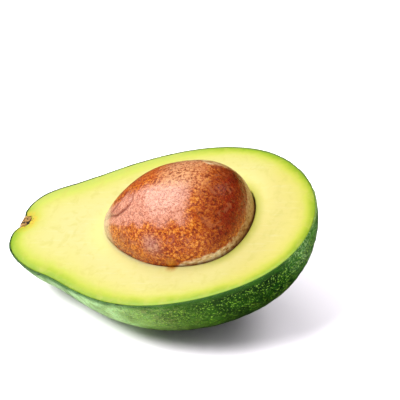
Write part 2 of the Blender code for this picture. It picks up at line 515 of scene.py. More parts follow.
FLESH_INSET = SKIN_THICKNESS + 0.05 * MM
TIGHT_GAP = -0.05 * MM
OPEN_GAP = 0.50 * MM
GAPE_TOWARDS = Vector((0.93, -0.37))
GAPE_DEPTH = 20.0 * MM
LIP_HEIGHT = 0.16 * MM
LIP_WIDTH = 1.1 * MM
LIP_SWELL_SIZE = 4.0 * MM
TIGHT_ROUNDING = 0.06 * MM
OPEN_ROUNDING = 0.45 * MM
CALM_WIDTH = 2.0 * MM  # the cut is smooth this far in from the skin
WALL_ALLOWANCE = 1.0 * MM
WALL_TOP = -0.9 * MM
WALL_FULL = -2.4 * MM


def gape(x, y):
    """0 where the flesh clings to the seed, 1 where the hollow stands open, at the blunt end."""
    away = Vector((x, y)) - SEED_CENTRE.xy
    return smoothstep(-0.05, 0.95, away.normalized().dot(GAPE_TOWARDS))


def in_hollow(point):
    """1 on the walls of the seed's hollow, well below the cut, else 0."""
    local = SEED_PLACE.inverted() @ point
    share = local.x / (SEED_HALF_LENGTH + WALL_ALLOWANCE)
    if abs(share) > 1.0 or math.hypot(local.y, local.z) > seed_radius(share, WALL_ALLOWANCE):
        return 0.0
    return smoothstep(WALL_TOP, WALL_FULL, point.z)


def face_relief(level, from_edge, from_hollow):
    """How far the cut stands out here: waves, the lip round the hollow and the sunk rim."""
    lip = LIP_HEIGHT * (0.6 + 0.4 * grain(level, LIP_SWELL_SIZE, 4.0))
    rise = knife_waves(level) + lip * bell(from_hollow - LIP_WIDTH, LIP_WIDTH)
    rounding = mix(TIGHT_ROUNDING, OPEN_ROUNDING, gape(level.x, level.y))
    rise -= rounding * bell(from_hollow, rounding)
    calm = smoothstep(0.0, CALM_WIDTH, from_edge - FLESH_INSET)
    return rise * calm - rim_drop(from_edge, level.y)


def open_hollow(vertices):
    """Moves a turned hollow to its place in the fruit and widens it where it gapes."""
    for vertex in vertices:
        level = sunk(vertex.co.z, SEED_CENTRE.z)
        placed = place_in_hollow(vertex.co)
        away = (placed.xy - SEED_CENTRE.xy).normalized()
        widen = (OPEN_GAP - TIGHT_GAP) * gape(placed.x, placed.y) * smoothstep(-GAPE_DEPTH, 0.0, level)
        vertex.co = (placed.x + widen * away.x, placed.y + widen * away.y, level)


def make_flesh(material, socket):
    """Solid flesh with the seed's hollow, its cut face in rings from the hollow to the skin."""
    spans = len(fruit_outline(0.0)) - 1
    shape = bmesh.new()
    underside = turn_outline(shape, fruit_outline(FLESH_INSET), math.pi, INSIDE_TURN_STEPS)
    grow_lopsided(underside)
    edge_of_hollow = hollow_outline(TIGHT_GAP, spans)
    hollow = turn_outline(shape, edge_of_hollow, math.pi, HOLLOW_TURN_STEPS, facing_in=True)
    open_hollow(hollow)
    rims = [edge for edge in shape.edges if edge.is_boundary]
    across = bmesh.ops.bridge_loops(shape, edges=rims)["edges"]
    bmesh.ops.subdivide_edges(shape, edges=across, cuts=FACE_RINGS, use_grid_fill=True)
    edge = edge_points(fruit_outline(0.0), place_on_fruit)
    hollow_edge = edge_points(edge_of_hollow, place_in_hollow)
    for vertex, fade in near_cut(shape):
        level = in_cut_plane(vertex.co)
        vertex.co.z += fade * face_relief(level, edge.find(level)[2], hollow_edge.find(level)[2])
    face_outwards(shape)
    mesh = cut_away(mesh_from(shape, "flesh_half"), socket)
    stem = Vector((STEM_OUTER_X + 0.5 * STEM_LENGTH, STEM_CENTRE_Y, 0.0))
    points = [vertex.co.copy() for vertex in mesh.vertices]
    walls = [in_hollow(point) for point in points]
    depths = [edge.find(point)[2] / MM for point in points]
    for index, point in enumerate(points):
        if point.z < -RIM_DROP_WIDTH and not walls[index]:
            depths[index] = 0.0
    store(mesh, "under_skin", depths)
    store(mesh, "walls", walls)
    store(mesh, "by_seed", [hollow_edge.find(point)[2] / MM for point in points])
    store(mesh, "by_stem", [(point - stem).length / MM for point in points])
    lay_down(mesh)
    return add_piece("flesh_half", mesh, material, "flesh")


# -------- seed

SEED_INSET = 0.06 * MM
SWELL_HEIGHT = 0.16 * MM
SWELL_SIZE = 11.0 * MM
WRINKLE_HEIGHT = 0.09 * MM
WRINKLE_SIZE = 1.5 * MM
CREASE_DEPTH = 0.42 * MM
CREASE_WIDTH = 0.55 * MM
CREASES_END_X = -7.0 * MM
CREASE_WANDER = 0.25 * MM
CREASE_WANDER_SIZE = 1.6 * MM
FAR_CREASE_SHARE = 0.75
COAT_HEIGHT = 0.16 * MM
COAT_TORN_OVER = 0.45 * MM
COAT_BEHIND_Y = 10.5 * MM
CURL_SIZE = 3.4 * MM
CURL_REACH = 1.3 * MM
LOBE_CENTRE = Vector((-13.5, -5.0, 14.2)) * MM
LOBE_HEIGHT = 0.22 * MM
LOBE_WIDTH = 4.0 * MM
TEAR_CENTRE = Vector((3.2, -19.6, 0.5)) * MM
TEAR_HEIGHT = 0.8 * MM
TEAR_WIDTH = 1.2 * MM
TIP_STARTS_X = -19.5 * MM
TIP_FULL_X = -23.5 * MM

# Two creases run back from the thin end: (x in mm, degrees round from straight up to +Y).
NEAR_CREASE = (
    (-25.0, -27.0),
    (-21.5, -27.0),
    (-17.0, -32.0),
    (-12.0, -28.0),
    (-9.6, -19.0),
    (-9.6, -9.0),
)
FAR_CREASE = (
    (-25.0, -23.0),
    (-21.0, -22.0),
    (-17.6, -15.5),
    (-15.0, -8.0),
    (-13.0, 7.0),
)


def around_seed(point):
    """Degrees round the seed's axis, from straight up towards +Y."""
    return math.degrees(math.atan2(point.y, point.z))


def crease_distance(point, route):
    """Distance over the surface from this point of the seed to a crease's route."""
    radius = math.hypot(point.y, point.z)
    here = Vector((point.x, radius * math.radians(around_seed(point))))
    wander = [grain(point, CREASE_WANDER_SIZE, seed) for seed in (7.0, 8.0)]
    here += CREASE_WANDER * Vector(wander)
    nearest = 1.0
    for (x0, turn0), (x1, turn1) in zip(route, route[1:]):
        start = Vector((x0 * MM, radius * math.radians(turn0)))
        along = Vector((x1 * MM, radius * math.radians(turn1))) - start
        share = (here - start).dot(along) / max(along.length_squared, 1e-12)
        share = min(max(share, 0.0), 1.0)
        nearest = min(nearest, (here - start - share * along).length)
    return nearest


def crease_amount(point):
    """1 in the middle of a crease, 0 away from both."""
    if point.x > CREASES_END_X or point.z < 0.0:
        return 0.0
    fade = smoothstep(-8.0 * MM, -12.0 * MM, point.x)
    near = bell(crease_distance(point, NEAR_CREASE), CREASE_WIDTH)
    far = bell(crease_distance(point, FAR_CREASE), CREASE_WIDTH)
    return max(near, FAR_CREASE_SHARE * far) * mix(0.45, 1.0, fade)


def coat_amount(point):
    """1 where the papery coat still clings: low round the blunt end and behind its far side."""
    x, y, z = point
    edge = mix(-2.6, 1.5, smoothstep(-1.0 * MM, 12.0 * MM, x)) * MM
    edge += 1.2 * MM * smoothstep(19.0 * MM, 25.5 * MM, x)
    edge += 0.32 * max(y + 5.0 * MM, 0.0) * smoothstep(14.0 * MM, 23.0 * MM, x)
    top = mix(-3.0, 18.0, smoothstep(-15.0 * MM, 17.0 * MM, x)) * MM
    behind = min(y - COAT_BEHIND_Y, top - z) + 2.6 * MM * grain(point, 7.0 * MM, 19.0)
    reach = max(edge - z, behind)
    reach += 0.9 * MM * grain(point, 3.2 * MM, 9.0) + 0.5 * MM * grain(point, 1.1 * MM, 10.0)
    return smoothstep(-COAT_TORN_OVER, COAT_TORN_OVER, reach)


def wrinkles(point):
    """Fine curly ridges, as a wet seed's skin dries in."""
    bend = Vector([grain(point, CURL_SIZE, seed) for seed in (11.0, 12.0, 13.0)])
    curl = point + CURL_REACH * bend
    stretched = Vector((curl.x * 0.7, curl.y, curl.z))
    return 1.0 - 2.0 * abs(grain(stretched, WRINKLE_SIZE, 14.0))


def seed_relief(point):
    """How far the seed's surface stands out here, and its crease and coat amounts."""
    crease = crease_amount(point)
    coat = coat_amount(point)
    height = SWELL_HEIGHT * (grain(point, SWELL_SIZE, 15.0) - 0.6)
    height += WRINKLE_HEIGHT * wrinkles(point) * (1.0 - 0.5 * coat)
    height += 0.5 * WRINKLE_HEIGHT * grain(point, 0.8 * MM, 16.0)
    height += COAT_HEIGHT * coat - CREASE_DEPTH * crease
    height += LOBE_HEIGHT * bell((point - LOBE_CENTRE).length, LOBE_WIDTH)
    height += TEAR_HEIGHT * bell((point - TEAR_CENTRE).length, TEAR_WIDTH)
    return height, crease, coat


def make_seed(material):
    """Whole seed: an egg with creases at its thin end and a torn papery coat."""
    shape = bmesh.new()
    turn_outline(shape, seed_outline(-SEED_INSET, SEED_SPANS), math.tau, SEED_TURN_STEPS)
    face_outwards(shape)
    reliefs = [seed_relief(vertex.co) for vertex in shape.verts]
    points = [vertex.co.copy() for vertex in shape.verts]
    for vertex, relief in zip(shape.verts, reliefs):
        vertex.co += vertex.normal * relief[0]
    bmesh.ops.transform(shape, verts=shape.verts, matrix=SEED_PLACE)
    mesh = mesh_from(shape, "seed_whole")
    store(mesh, "crease", [relief[1] for relief in reliefs])
    store(mesh, "coat", [relief[2] for relief in reliefs])
    store(mesh, "tip", [smoothstep(TIP_STARTS_X, TIP_FULL_X, point.x) for point in points])
    lay_down(mesh)
    return add_piece("seed_whole", mesh, material, "seed")


# -------- base of the stem

STEM_CLEARANCE = 0.06 * MM
STEM_EDGE_ROUNDING = 0.4 * MM
STEM_CUT_Z = -0.12 * MM
STEM_CUT_RISE = 0.10 * MM
STEM_CUT_FADE = 0.6 * MM
STEM_TURN_STEPS = 96
STEM_SPANS = 14


def stem_outline(outset):
    """Points (x, r) of the stem's base about its own middle line, from its inner end out."""
    inner = STEM_OUTER_X + STEM_LENGTH + outset
    outer = STEM_OUTER_X - outset
    points = [Vector((inner, 0.0))]
    for index in range(STEM_SPANS + 1):
        share = index / STEM_SPANS
        round_off = STEM_EDGE_ROUNDING * (bell(share, 0.12) + bell(share - 1.0, 0.12))
        radius = mix(STEM_INNER_R, STEM_OUTER_R, share) + outset - round_off
        points.append(Vector((mix(inner, outer, share), radius)))
    points.append(Vector((outer, 0.0)))
    return points


def stem_relief(point):
    """The rough, pitted wood of the stem's base."""
    return 0.16 * MM * grain(point, 1.1 * MM, 20.0) + 0.07 * MM * grain(point, 0.45 * MM, 21.0)


def shape_stem(outset):
    """The stem's base as a whole turn, laid in its place in the fruit."""
    shape = bmesh.new()
    turn_outline(shape, stem_outline(outset), math.tau, STEM_TURN_STEPS)
    face_outwards(shape)
    moves = [vertex.normal * stem_relief(vertex.co) for vertex in shape.verts]
    for vertex, move in zip(shape.verts, moves):
        vertex.co += move
    bmesh.ops.translate(shape, verts=shape.verts, vec=(0.0, STEM_CENTRE_Y, 0.0))
    return shape


def make_stem_base(material):
    """Woody plug, cut through lengthwise: a whole turn with its upper half pressed to the cut."""
    shape = shape_stem(-STEM_CLEARANCE)
    for vertex in shape.verts:
        if vertex.co.z > 0.0:
            inside = smoothstep(0.0, STEM_CUT_FADE, vertex.co.z)
            roughness = stem_relief(in_cut_plane(vertex.co))
            vertex.co.z = STEM_CUT_Z + inside * (STEM_CUT_RISE + roughness)
    face_outwards(shape)
    mesh = mesh_from(shape, "stem_stub")
    lay_down(mesh)
    return add_piece("stem_stub", mesh, material, "stem_base")


def stem_socket_mesh():
    """The room that the stem's base takes, for cutting its socket."""
    return mesh_from(shape_stem(STEM_CLEARANCE), "socket")


# -------- node helpers


def linear(code):
    """Linear colour from a code such as FAF29D."""
    colour = []
    for start in (0, 2, 4):
        share = int(code[start : start + 2], 16) / 255
        colour.append(share / 12.92 if share <= 0.04045 else ((share + 0.055) / 1.055) ** 2.4)
    return (*colour, 1.0)


class Finish:
    """A Principled material under construction, with short calls for its nodes."""

    def __init__(self, name):
        self.material = bpy.data.materials.new(name)
        self.material.use_nodes = True
        self.tree = self.material.node_tree
        self.shader = self.tree.nodes["Principled BSDF"]
        self.place = self.add("TexCoord").outputs["Object"]

    def add(self, kind, inputs=(), **settings):
        node = self.tree.nodes.new("ShaderNode" + kind)
        for name, value in settings.items():
            setattr(node, name, value)
        for name, value in dict(inputs).items():
            self.feed(node.inputs[name], value)
        return node

    def feed(self, socket, value):
        if isinstance(value, bpy.types.NodeSocket):
            self.tree.links.new(value, socket)
        else:
            socket.default_value = value

    def set(self, **values):
        """Sets sockets of the shader, with underscores for the spaces in their names."""
        for name, value in values.items():
            self.feed(self.shader.inputs[name.replace("_", " ")], value)

    def attribute(self, name):
        return self.add("Attribute", attribute_name=name).outputs["Fac"]

    def local(self, location, rotation, vector=None):
        """Coordinates in a frame that stands here and is turned like this."""
        inputs = {"Vector": vector or self.place, "Location": location, "Rotation": rotation}
        return self.add("Mapping", inputs, vector_type="TEXTURE").outputs["Vector"]

    def stretched(self, vector, scale):
        return self.add("Mapping", {"Vector": vector, "Scale": scale}).outputs["Vector"]

    def axes(self, vector):
        """The X, Y and Z of a vector."""
        return tuple(self.add("SeparateXYZ", {"Vector": vector}).outputs)

    def noise(self, vector, size, detail=3.0, roughness=0.55, distortion=0.0):
        inputs = {"Vector": vector, "Scale": 1.0 / size, "Detail": detail}
        inputs |= {"Roughness": roughness, "Distortion": distortion}
        return self.add("TexNoise", inputs).outputs["Fac"]

    def cells(self, vector, size, output="Distance", feature="F1"):
        inputs = {"Vector": vector, "Scale": 1.0 / size}
        return self.add("TexVoronoi", inputs, feature=feature).outputs[output]

    def freckles(self, vector, size, largest):
        """1 in round dots of many sizes, one to each cell of this size, 0 between them."""
        pick = self.axes(self.cells(vector, size, "Color"))[0]
        radius = self.math("MULTIPLY_ADD", pick, largest, -0.05)
        return self.band(self.math("SUBTRACT", self.cells(vector, size), radius), 0.10, 0.0)

    def threads(self, vector, size, width, detail, roughness, distortion):
        """1 on thin winding lines, where a noise passes through its middle, 0 between them."""
        value = self.noise(vector, size, detail, roughness, distortion)
        from_middle = self.math("ABSOLUTE", self.math("SUBTRACT", value, 0.5))
        return self.band(from_middle, width, 0.0)

    def around(self, vector, place, reach):
        """1 at this place in millimetres, fading to 0 at this reach from it."""
        inputs = {0: vector, 1: Vector(place) * MM}
        distance = self.add("VectorMath", inputs, operation="DISTANCE").outputs["Value"]
        return self.band(distance, reach, 0.0)

    def band(self, value, low, high, to_low=0.0, to_high=1.0):
        """Smooth step from to_low at low to to_high at high."""
        inputs = {"Value": value, "From Min": low, "From Max": high}
        inputs |= {"To Min": to_low, "To Max": to_high}
        node = self.add("MapRange", inputs, interpolation_type="SMOOTHSTEP")
        return node.outputs["Result"]

    def math(self, operation, first, second=0.0, third=0.0):
        node = self.add("Math", operation=operation)
        for socket, value in zip(node.inputs, (first, second, third)):
            self.feed(socket, value)
        return node.outputs[0]

    def swing(self, value, reach):
        """A value between 0 and 1 spread out to run from -reach to reach."""
        return self.math("MULTIPLY_ADD", value, 2.0 * reach, -reach)

    def product(self, *values):
        result = values[0]
        for value in values[1:]:
            result = self.math("MULTIPLY", result, value)
        return result

    def mix(self, share, first, second, blend="MIX"):
        node = self.add("Mix", data_type="RGBA", blend_type=blend)
        for index, value in ((0, share), (6, first), (7, second)):
            self.feed(node.inputs[index], linear(value) if isinstance(value, str) else value)
        return node.outputs[2]

    def tint(self, share, colour, code):
        """The colour seen through a filter of another."""
        return self.mix(share, colour, code, "MULTIPLY")

    def ramp(self, value, stops):
        """Colour ramp with stops as (place, colour code)."""
        node = self.add("ValToRGB", {"Fac": value})
        elements = node.color_ramp.elements
        elements.remove(elements[1])
        elements[0].position = stops[0][0]
        elements[0].color = linear(stops[0][1])
        for position, code in stops[1:]:
            elements.new(position).color = linear(code)
        return node.outputs["Color"]

    def bump(self, *layers):
        """Bump from layers of (height value, height in metres), coarse to fine."""
        normal = None
        for height, distance in layers:
            inputs = {"Height": height, "Distance": distance, "Strength": 1.0}
            if normal is not None:
                inputs["Normal"] = normal
            normal = self.add("Bump", inputs).outputs["Normal"]
        self.set(Normal=normal)


def fruit_coordinates(finish):
    return finish.local(LYING_POINT, (ROLL, PITCH, 0.0))


# -------- finish of the flesh

# From the skin inwards, as shares of the way to the butter yellow of the middle.
FLESH_COLOURS = (
    (0.00, "80A824"),
    (0.09, "93B327"),
    (0.17, "AEC236"),
    (0.28, "CAD154"),
    (0.42, "D8D474"),
    (0.62, "DCD582"),
    (1.00, "DED68C"),
)
DRIP_PLACE = (12.2, -19.8, 0.0)


def flesh_edges(f, body, at):
    """A clearer green edge at -Y of the belly, partly the flesh's own green and partly a painted highlight
    along the edge, and a yellower one on the far side of the neck.
    """
    near = f.product(f.band(at.y, -4.0 * MM, -16.0 * MM), f.band(at.x, -8.0 * MM, 12.0 * MM))
    edge_band_and_highlight = f.band(f.math("ADD", at.under_skin, f.swing(at.fine_drift, 0.3)), 2.2, 1.1)
    # Lighter green band along the near edge: partly the flesh's own colour, partly a painted highlight.
    body = f.mix(f.product(near, edge_band_and_highlight, 0.8), body, "AACC50")
    far_neck = f.product(f.band(at.y, 3.0 * MM, 12.0 * MM), f.band(at.x, 14.0 * MM, -8.0 * MM))
    return f.mix(f.product(far_neck, f.band(at.depth, 0.45, 0.1), 0.55), body, "D8DC74")


def flesh_grain(f, body, at):
    """Pale strands that run along the fruit, deep in the flesh, and a faint mottle."""
    veins = f.noise(f.stretched(at.fruit, (0.12, 1.0, 1.0)), 1.4 * MM, 4.0, 0.6)
    veins = f.product(f.band(veins, 0.52, 0.70, 0.0, 0.20), f.band(at.depth, 0.25, 0.60))
    body = f.mix(veins, body, "E6E2B4")
    mottle = f.noise(at.fruit, 3.4 * MM, 4.0, 0.6, 0.6)
    return f.mix(f.band(mottle, 0.48, 0.68, 0.0, 0.32), body, "CCC45E")


def flesh_round_seed(f, body, at):
    """Clearer yellow round the hollow, painted light against the seed's shade, a pale lip, and a greener lip
    at the blunt end that is painted shade.
    """
    by_seed = f.attribute("by_seed")
    # Painted light: the flesh is made lighter round the hollow to offset the shade that the seed casts.
    body = f.mix(f.band(by_seed, 10.0, 1.0, 0.0, 0.55), body, "F4EA92")
    pale_lip = f.product(f.band(by_seed, 1.5, 0.3), f.band(at.x, 22.0 * MM, 4.0 * MM), 0.55)
    body = f.mix(pale_lip, body, "EEE6B4")
    # Painted shade: a greener, duller lip beside the seed at the blunt end.
    shaded_green_lip = f.product(f.band(by_seed, 4.5, 0.5), f.band(at.x, 20.0 * MM, 30.0 * MM), 0.7)
    return f.mix(shaded_green_lip, body, "C4C648")


def flesh_stains(f, body, at):
    """Ochre stain and brown bruises round the stem, and a rusty drip at the seed's torn coat."""
    by_stem = f.attribute("by_stem")
    stain = f.product(f.band(by_stem, 6.5, 2.4), f.band(at.fine_drift, 0.35, 0.6, 0.35, 1.0), 0.75)
    body = f.mix(stain, body, "E8BE3C")
    bruise = f.product(f.band(by_stem, 3.8, 2.2), f.band(f.noise(at.fruit, 1.2 * MM), 0.50, 0.62))
    body = f.mix(bruise, body, "7A4A10")
    drip = f.around(at.fruit, DRIP_PLACE, 3.0 * MM)
    return f.mix(f.product(drip, f.band(at.fine_drift, 0.3, 0.6, 0.5, 1.0)), body, "CC8420")


def flesh_finish():
    """Moist flesh: butter yellow inside, green towards the skin, brown in the hollow, partly a stain of the
    seed's coat and partly painted shade in the gap round the seed.
    """
    f = Finish("avocado_flesh")
    at = SimpleNamespace(fruit=fruit_coordinates(f))
    at.x, at.y, _ = f.axes(at.fruit)
    at.under_skin = f.attribute("under_skin")
    at.fine_drift = f.noise(at.fruit, 1.6 * MM, 3.0)
    drift = f.noise(at.fruit, 7.0 * MM, 2.0)
    wander = f.math("ADD", f.swing(drift, 1.2), f.swing(at.fine_drift, 0.4))
    reach = f.band(at.x, 20.0 * MM, -30.0 * MM, 12.5, 17.0)
    at.depth = f.math("DIVIDE", f.math("ADD", at.under_skin, wander), reach)

    body = f.ramp(at.depth, FLESH_COLOURS)
    body = f.tint(f.band(at.x, 26.0 * MM, 40.0 * MM, 0.0, 0.55), body, "FFF6D6")
    for add_detail in (flesh_edges, flesh_grain, flesh_round_seed, flesh_stains):
        body = add_detail(f, body, at)
    # Brown walls of the hollow: partly the seed coat's stain, partly painted shade in the gap.
    body = f.mix(f.attribute("walls"), body, f.mix(at.fine_drift, "A8742E", "6E3A12"))

    f.set(Base_Color=body)
    f.set(Roughness=f.band(f.noise(at.fruit, 2.2 * MM, 3.0), 0.3, 0.7, 0.36, 0.50))
    f.set(Subsurface_Weight=0.15, Subsurface_Radius=(1.0, 0.8, 0.3), Subsurface_Scale=2.0 * MM)
    f.set(IOR=1.42, Specular_IOR_Level=0.3)
    f.bump(
        (f.noise(f.stretched(at.fruit, (0.3, 1.0, 1.0)), 1.8 * MM, 4.0), 0.05 * MM),
        (f.noise(at.fruit, 0.5 * MM, 3.0), 0.02 * MM),
    )
    return f.material


# -------- finish of the skin

# From the stem end to the blunt end, as shares of the way between the two. Partly the skin's own colour and
# partly painted light: the pale neck stops and the lighter last stop are partly a painted sheen, the dark
# stops of the blunt end partly painted shade.
SKIN_COLOURS_AND_PAINTED_LIGHT = (
    (0.00, "96BA80"),
    (0.20, "A4C690"),
    (0.38, "B2DE9C"),
    (0.50, "729F4E"),
    (0.63, "305F10"),
    (0.72, "2D580E"),
    (0.86, "1A3F03"),
    (0.95, "194D03"),
    (1.00, "36820A"),
)
SKIN_COLOURS_FROM_X = -0.052
SKIN_COLOURS_LENGTH = 0.109


def skin_ground(f, base, at):
    """Darker patches and mottle, a duller far side of the neck that keeps the painted sheen of the neck to
    its near side, and pale winding lines.
    """
    base = f.tint(f.band(at.patches, 0.42, 0.66, 0.0, 0.60), base, "80905A")
    base = f.tint(f.band(at.mottle, 0.48, 0.66, 0.0, 0.55), base, "A8A868")
    # The far side of the neck is dulled, so the painted sheen of the pale neck stays on the near side.
    far_neck = f.product(f.band(at.y, -4.0 * MM, 12.0 * MM), f.band(at.along, 0.70, 0.40))
    base = f.tint(far_neck, base, "A2B48C")
    lines = f.threads(f.stretched(at.fruit, (0.45, 1.0, 1.0)), 1.1 * MM, 0.06, 3.0, 0.55, 1.8)
    lines = f.product(lines, f.band(at.along, 0.25, 0.42), f.band(at.along, 0.80, 0.55), 0.40)
    return f.mix(lines, base, "B4B470")


def skin_freckles(f, base, at):
    """Yellow-green freckles, small and large, with dark specks between them."""
    small = f.product(at.freckles, f.band(at.x, -25.0 * MM, 8.0 * MM, 0.3, 0.95))
    base = f.mix(small, base, "8CB43C")
    specks = f.band(f.noise(at.fruit, 0.7 * MM, 3.0, 0.6), 0.55, 0.66, 0.0, 0.75)
    base = f.tint(f.product(specks, f.band(at.x, -30.0 * MM, 0.0)), base, "66784A")
    large = f.product(f.freckles(at.fruit, 1.4 * MM, 0.25), f.band(at.x, -10.0 * MM, 12.0 * MM))
    return f.mix(f.product(large, at.below_band, 0.7), base, "A0C458")


def skin_dust(f, base, at):
    """Fine light dots all over, and rusty patches on the belly."""
    dust = f.product(f.band(f.cells(at.fruit, 0.5 * MM), 0.30, 0.12), f.band(at.mottle, 0.42, 0.6))
    base = f.mix(f.product(dust, at.below_band, 0.40), base, "7CAE26")
    rust = f.band(f.noise(at.fruit, 5.0 * MM, 5.0, 0.7, 0.8), 0.60, 0.70)
    rust = f.product(rust, at.below_band, f.band(at.x, 5.0 * MM, 25.0 * MM), 0.45)
    return f.mix(rust, base, "5A4418")


def skin_painted_shade(f, base, at):
    """Painted shade: darker green low down towards the floor and on the belly."""
    # Painted shade low down and on the belly.
    shade_underneath = f.product(f.band(at.below_rim, 13.0, 24.0), f.band(at.x, -12.0 * MM, 4.0 * MM))
    base = f.tint(shade_underneath, base, "C0CEB0")
    belly = f.product(f.band(at.x, 2.0 * MM, 32.0 * MM), f.band(at.x, 54.0 * MM, 47.0 * MM, 0.2, 1.0))
    return f.tint(f.product(belly, at.below_band), base, "D3E7BC")


def skin_rim(f, base, at):
    """A plain green band under the rim, painted shade under the rim of the neck, and the edge that the knife
    left.
    """
    belly_band = f.product(f.band(at.below_rim, 3.0, 0.6, 0.0, 0.6), f.band(at.x, -5.0 * MM, 12.0 * MM))
    base = f.mix(belly_band, base, "34680C")
    # Painted shade: a darker green band just under the rim of the neck.
    shaded_neck_band = f.product(f.band(at.below_rim, 2.6, 0.9), f.band(at.x, 8.0 * MM, -8.0 * MM), 0.6)
    base = f.mix(shaded_neck_band, base, "4E803E")
    cut_edge = f.mix(f.band(at.y, 4.0 * MM, -4.0 * MM), "76903E", "3E6A22")
    cut_edge = f.mix(f.band(at.x, -28.0 * MM, -44.0 * MM), cut_edge, "385424")
    return f.mix(f.band(at.below_rim, 0.75, 0.35, 0.0, 0.85), base, cut_edge)


def skin_wear_and_sheen(f, base, at):
    """Dark scrapes and nicks under the rim of the neck, and a pale waxy film on the blunt end's edge that is
    partly a painted sheen.
    """
    scrape = f.noise(f.stretched(at.fruit, (0.16, 1.0, 1.0)), 0.9 * MM, 4.0, 0.6)
    scrape = f.product(f.band(scrape, 0.58, 0.66), f.band(at.x, 5.0 * MM, -10.0 * MM))
    scrape = f.product(scrape, f.band(at.below_rim, 4.5, 1.0, 0.25, 1.0), 0.7)
    base = f.mix(scrape, base, "24481C")
    nicks = f.noise(f.stretched(at.fruit, (0.35, 1.0, 1.0)), 1.3 * MM, 2.0, 0.5)
    nicks = f.product(f.band(nicks, 0.57, 0.63), f.band(at.below_rim, 1.9, 0.9))
    base = f.mix(f.product(nicks, f.band(at.x, 4.0 * MM, -4.0 * MM), 0.85), base, "16300E")
    # Pale flecks on the blunt end's edge: partly a waxy film, partly a painted sheen on the pebbles.
    bloom_and_sheen = f.noise(f.stretched(at.fruit, (1.0, 1.0, 0.6)), 0.8 * MM, 4.0, 0.65, 1.2)
    bloom_and_sheen = f.product(f.band(bloom_and_sheen, 0.50, 0.62), f.band(at.x, 49.0 * MM, 55.0 * MM), 0.6)
    return f.mix(bloom_and_sheen, base, "A4CC80")


def skin_finish():
    """Green skin: lighter and smoother at the neck, dark and freckled at the blunt end; the lightness is
    partly a painted sheen, the darkness partly painted shade.
    """
    f = Finish("avocado_peel")
    at = SimpleNamespace(fruit=fruit_coordinates(f))
    at.x, at.y, _ = f.axes(at.fruit)
    at.below_rim = f.attribute("below_rim")
    at.below_band = f.band(at.below_rim, 1.2, 3.4)
    at.along = f.math(
        "MULTIPLY_ADD",
        at.x,
        1.0 / SKIN_COLOURS_LENGTH,
        -SKIN_COLOURS_FROM_X / SKIN_COLOURS_LENGTH,
    )
    at.patches = f.noise(at.fruit, 9.0 * MM, 4.0, 0.6, 0.5)
    at.mottle = f.noise(at.fruit, 2.2 * MM, 4.0, 0.65)
    crowding = f.band(f.noise(at.fruit, 11.0 * MM, 2.0), 0.30, 0.50, 0.6, 1.0)
    at.freckles = f.product(f.freckles(at.fruit, 0.64 * MM, 0.46), crowding, at.below_band)

    # Skin colours with a painted sheen at the neck and painted shade at the blunt end.
    base = f.ramp(at.along, SKIN_COLOURS_AND_PAINTED_LIGHT)
    for add_detail in (skin_ground, skin_freckles, skin_dust, skin_painted_shade, skin_rim, skin_wear_and_sheen):
        base = add_detail(f, base, at)

    f.set(Base_Color=base)
    f.set(Roughness=f.band(at.patches, 0.3, 0.7, 0.30, 0.42))
    f.set(IOR=1.42, Specular_IOR_Level=0.25)
    pebbles = f.cells(at.fruit, 2.0 * MM, feature="SMOOTH_F1")
    f.bump(
        (f.noise(at.fruit, 2.4 * MM, 3.0), 0.25 * MM),
        (f.band(pebbles, 0.1, 0.7, 1.0, 0.0), 0.10 * MM),
        (at.freckles, 0.05 * MM),
        (f.noise(at.fruit, 0.35 * MM, 3.0), 0.02 * MM),
    )
    return f.material


# -------- finish of the seed

# From the pits between the granules to their tops.
SEED_COLOURS = (
    (0.36, "6C1C02"),
    (0.44, "A23A08"),
    (0.50, "CC5E10"),
    (0.56, "E48418"),
    (0.64, "F6AE48"),
)
PAPER_COLOURS = ((0.32, "9C6630"), (0.46, "E0B880"), (0.60, "FCEABC"))
PLUM_PLACE = (-2.1, -18.0, 7.1)
ORANGE_PLACE = (3.2, -19.8, 0.6)


def turn_band(f, angle, low, high):
    """Smooth step from 0 at low to 1 at high, both in degrees round the seed."""
    return f.band(angle, math.radians(low), math.radians(high))


def seed_ground(f, base, at):
    """Redder blotches, rosy patches low down and the deep red of the blunt end, partly its own colour and
    partly painted shade.
    """
    base = f.tint(f.band(at.blotches, 0.50, 0.66, 0.0, 0.6), base, "D89870")
    rosy = f.band(f.noise(at.seed, 3.0 * MM, 3.0, 0.6, 1.0), 0.50, 0.64, 0.0, 0.55)
    rosy = f.product(rosy, f.band(at.z, 13.0 * MM, 8.0 * MM))
    base = f.mix(rosy, base, f.mix(at.granules, "A44828", "D88A60"))
    # The deep red of the blunt end is partly the seed's colour, partly painted shade on its side away from
    # the light.
    red_and_shaded_end = f.product(f.band(at.along, 13.0 * MM, 23.0 * MM), f.band(at.z, 1.0 * MM, 6.0 * MM))
    return f.tint(red_and_shaded_end, base, "A44412")


def seed_flecks(f, base, at):
    """Orange threads on the red of the blunt end, and pinkish patches there that are painted glints."""
    threads = f.threads(at.seed, 1.0 * MM, 0.035, 2.0, 0.5, 1.6)
    threads = f.product(threads, f.band(at.x, 4.0 * MM, 12.0 * MM), f.band(at.blotches, 0.35, 0.55, 0.3, 0.7))
    base = f.mix(threads, base, "E07C24")
    # Painted glints: small pinkish patches high on the blunt end.
    pink_glints = f.band(f.noise(at.seed, 2.4 * MM, 2.0, 0.5, 0.6), 0.56, 0.66)
    pink_glints = f.product(pink_glints, f.band(at.along, 13.0 * MM, 17.0 * MM), f.band(at.z, 5.0 * MM, 9.0 * MM), 0.35)
    return f.mix(pink_glints, base, "C47848")


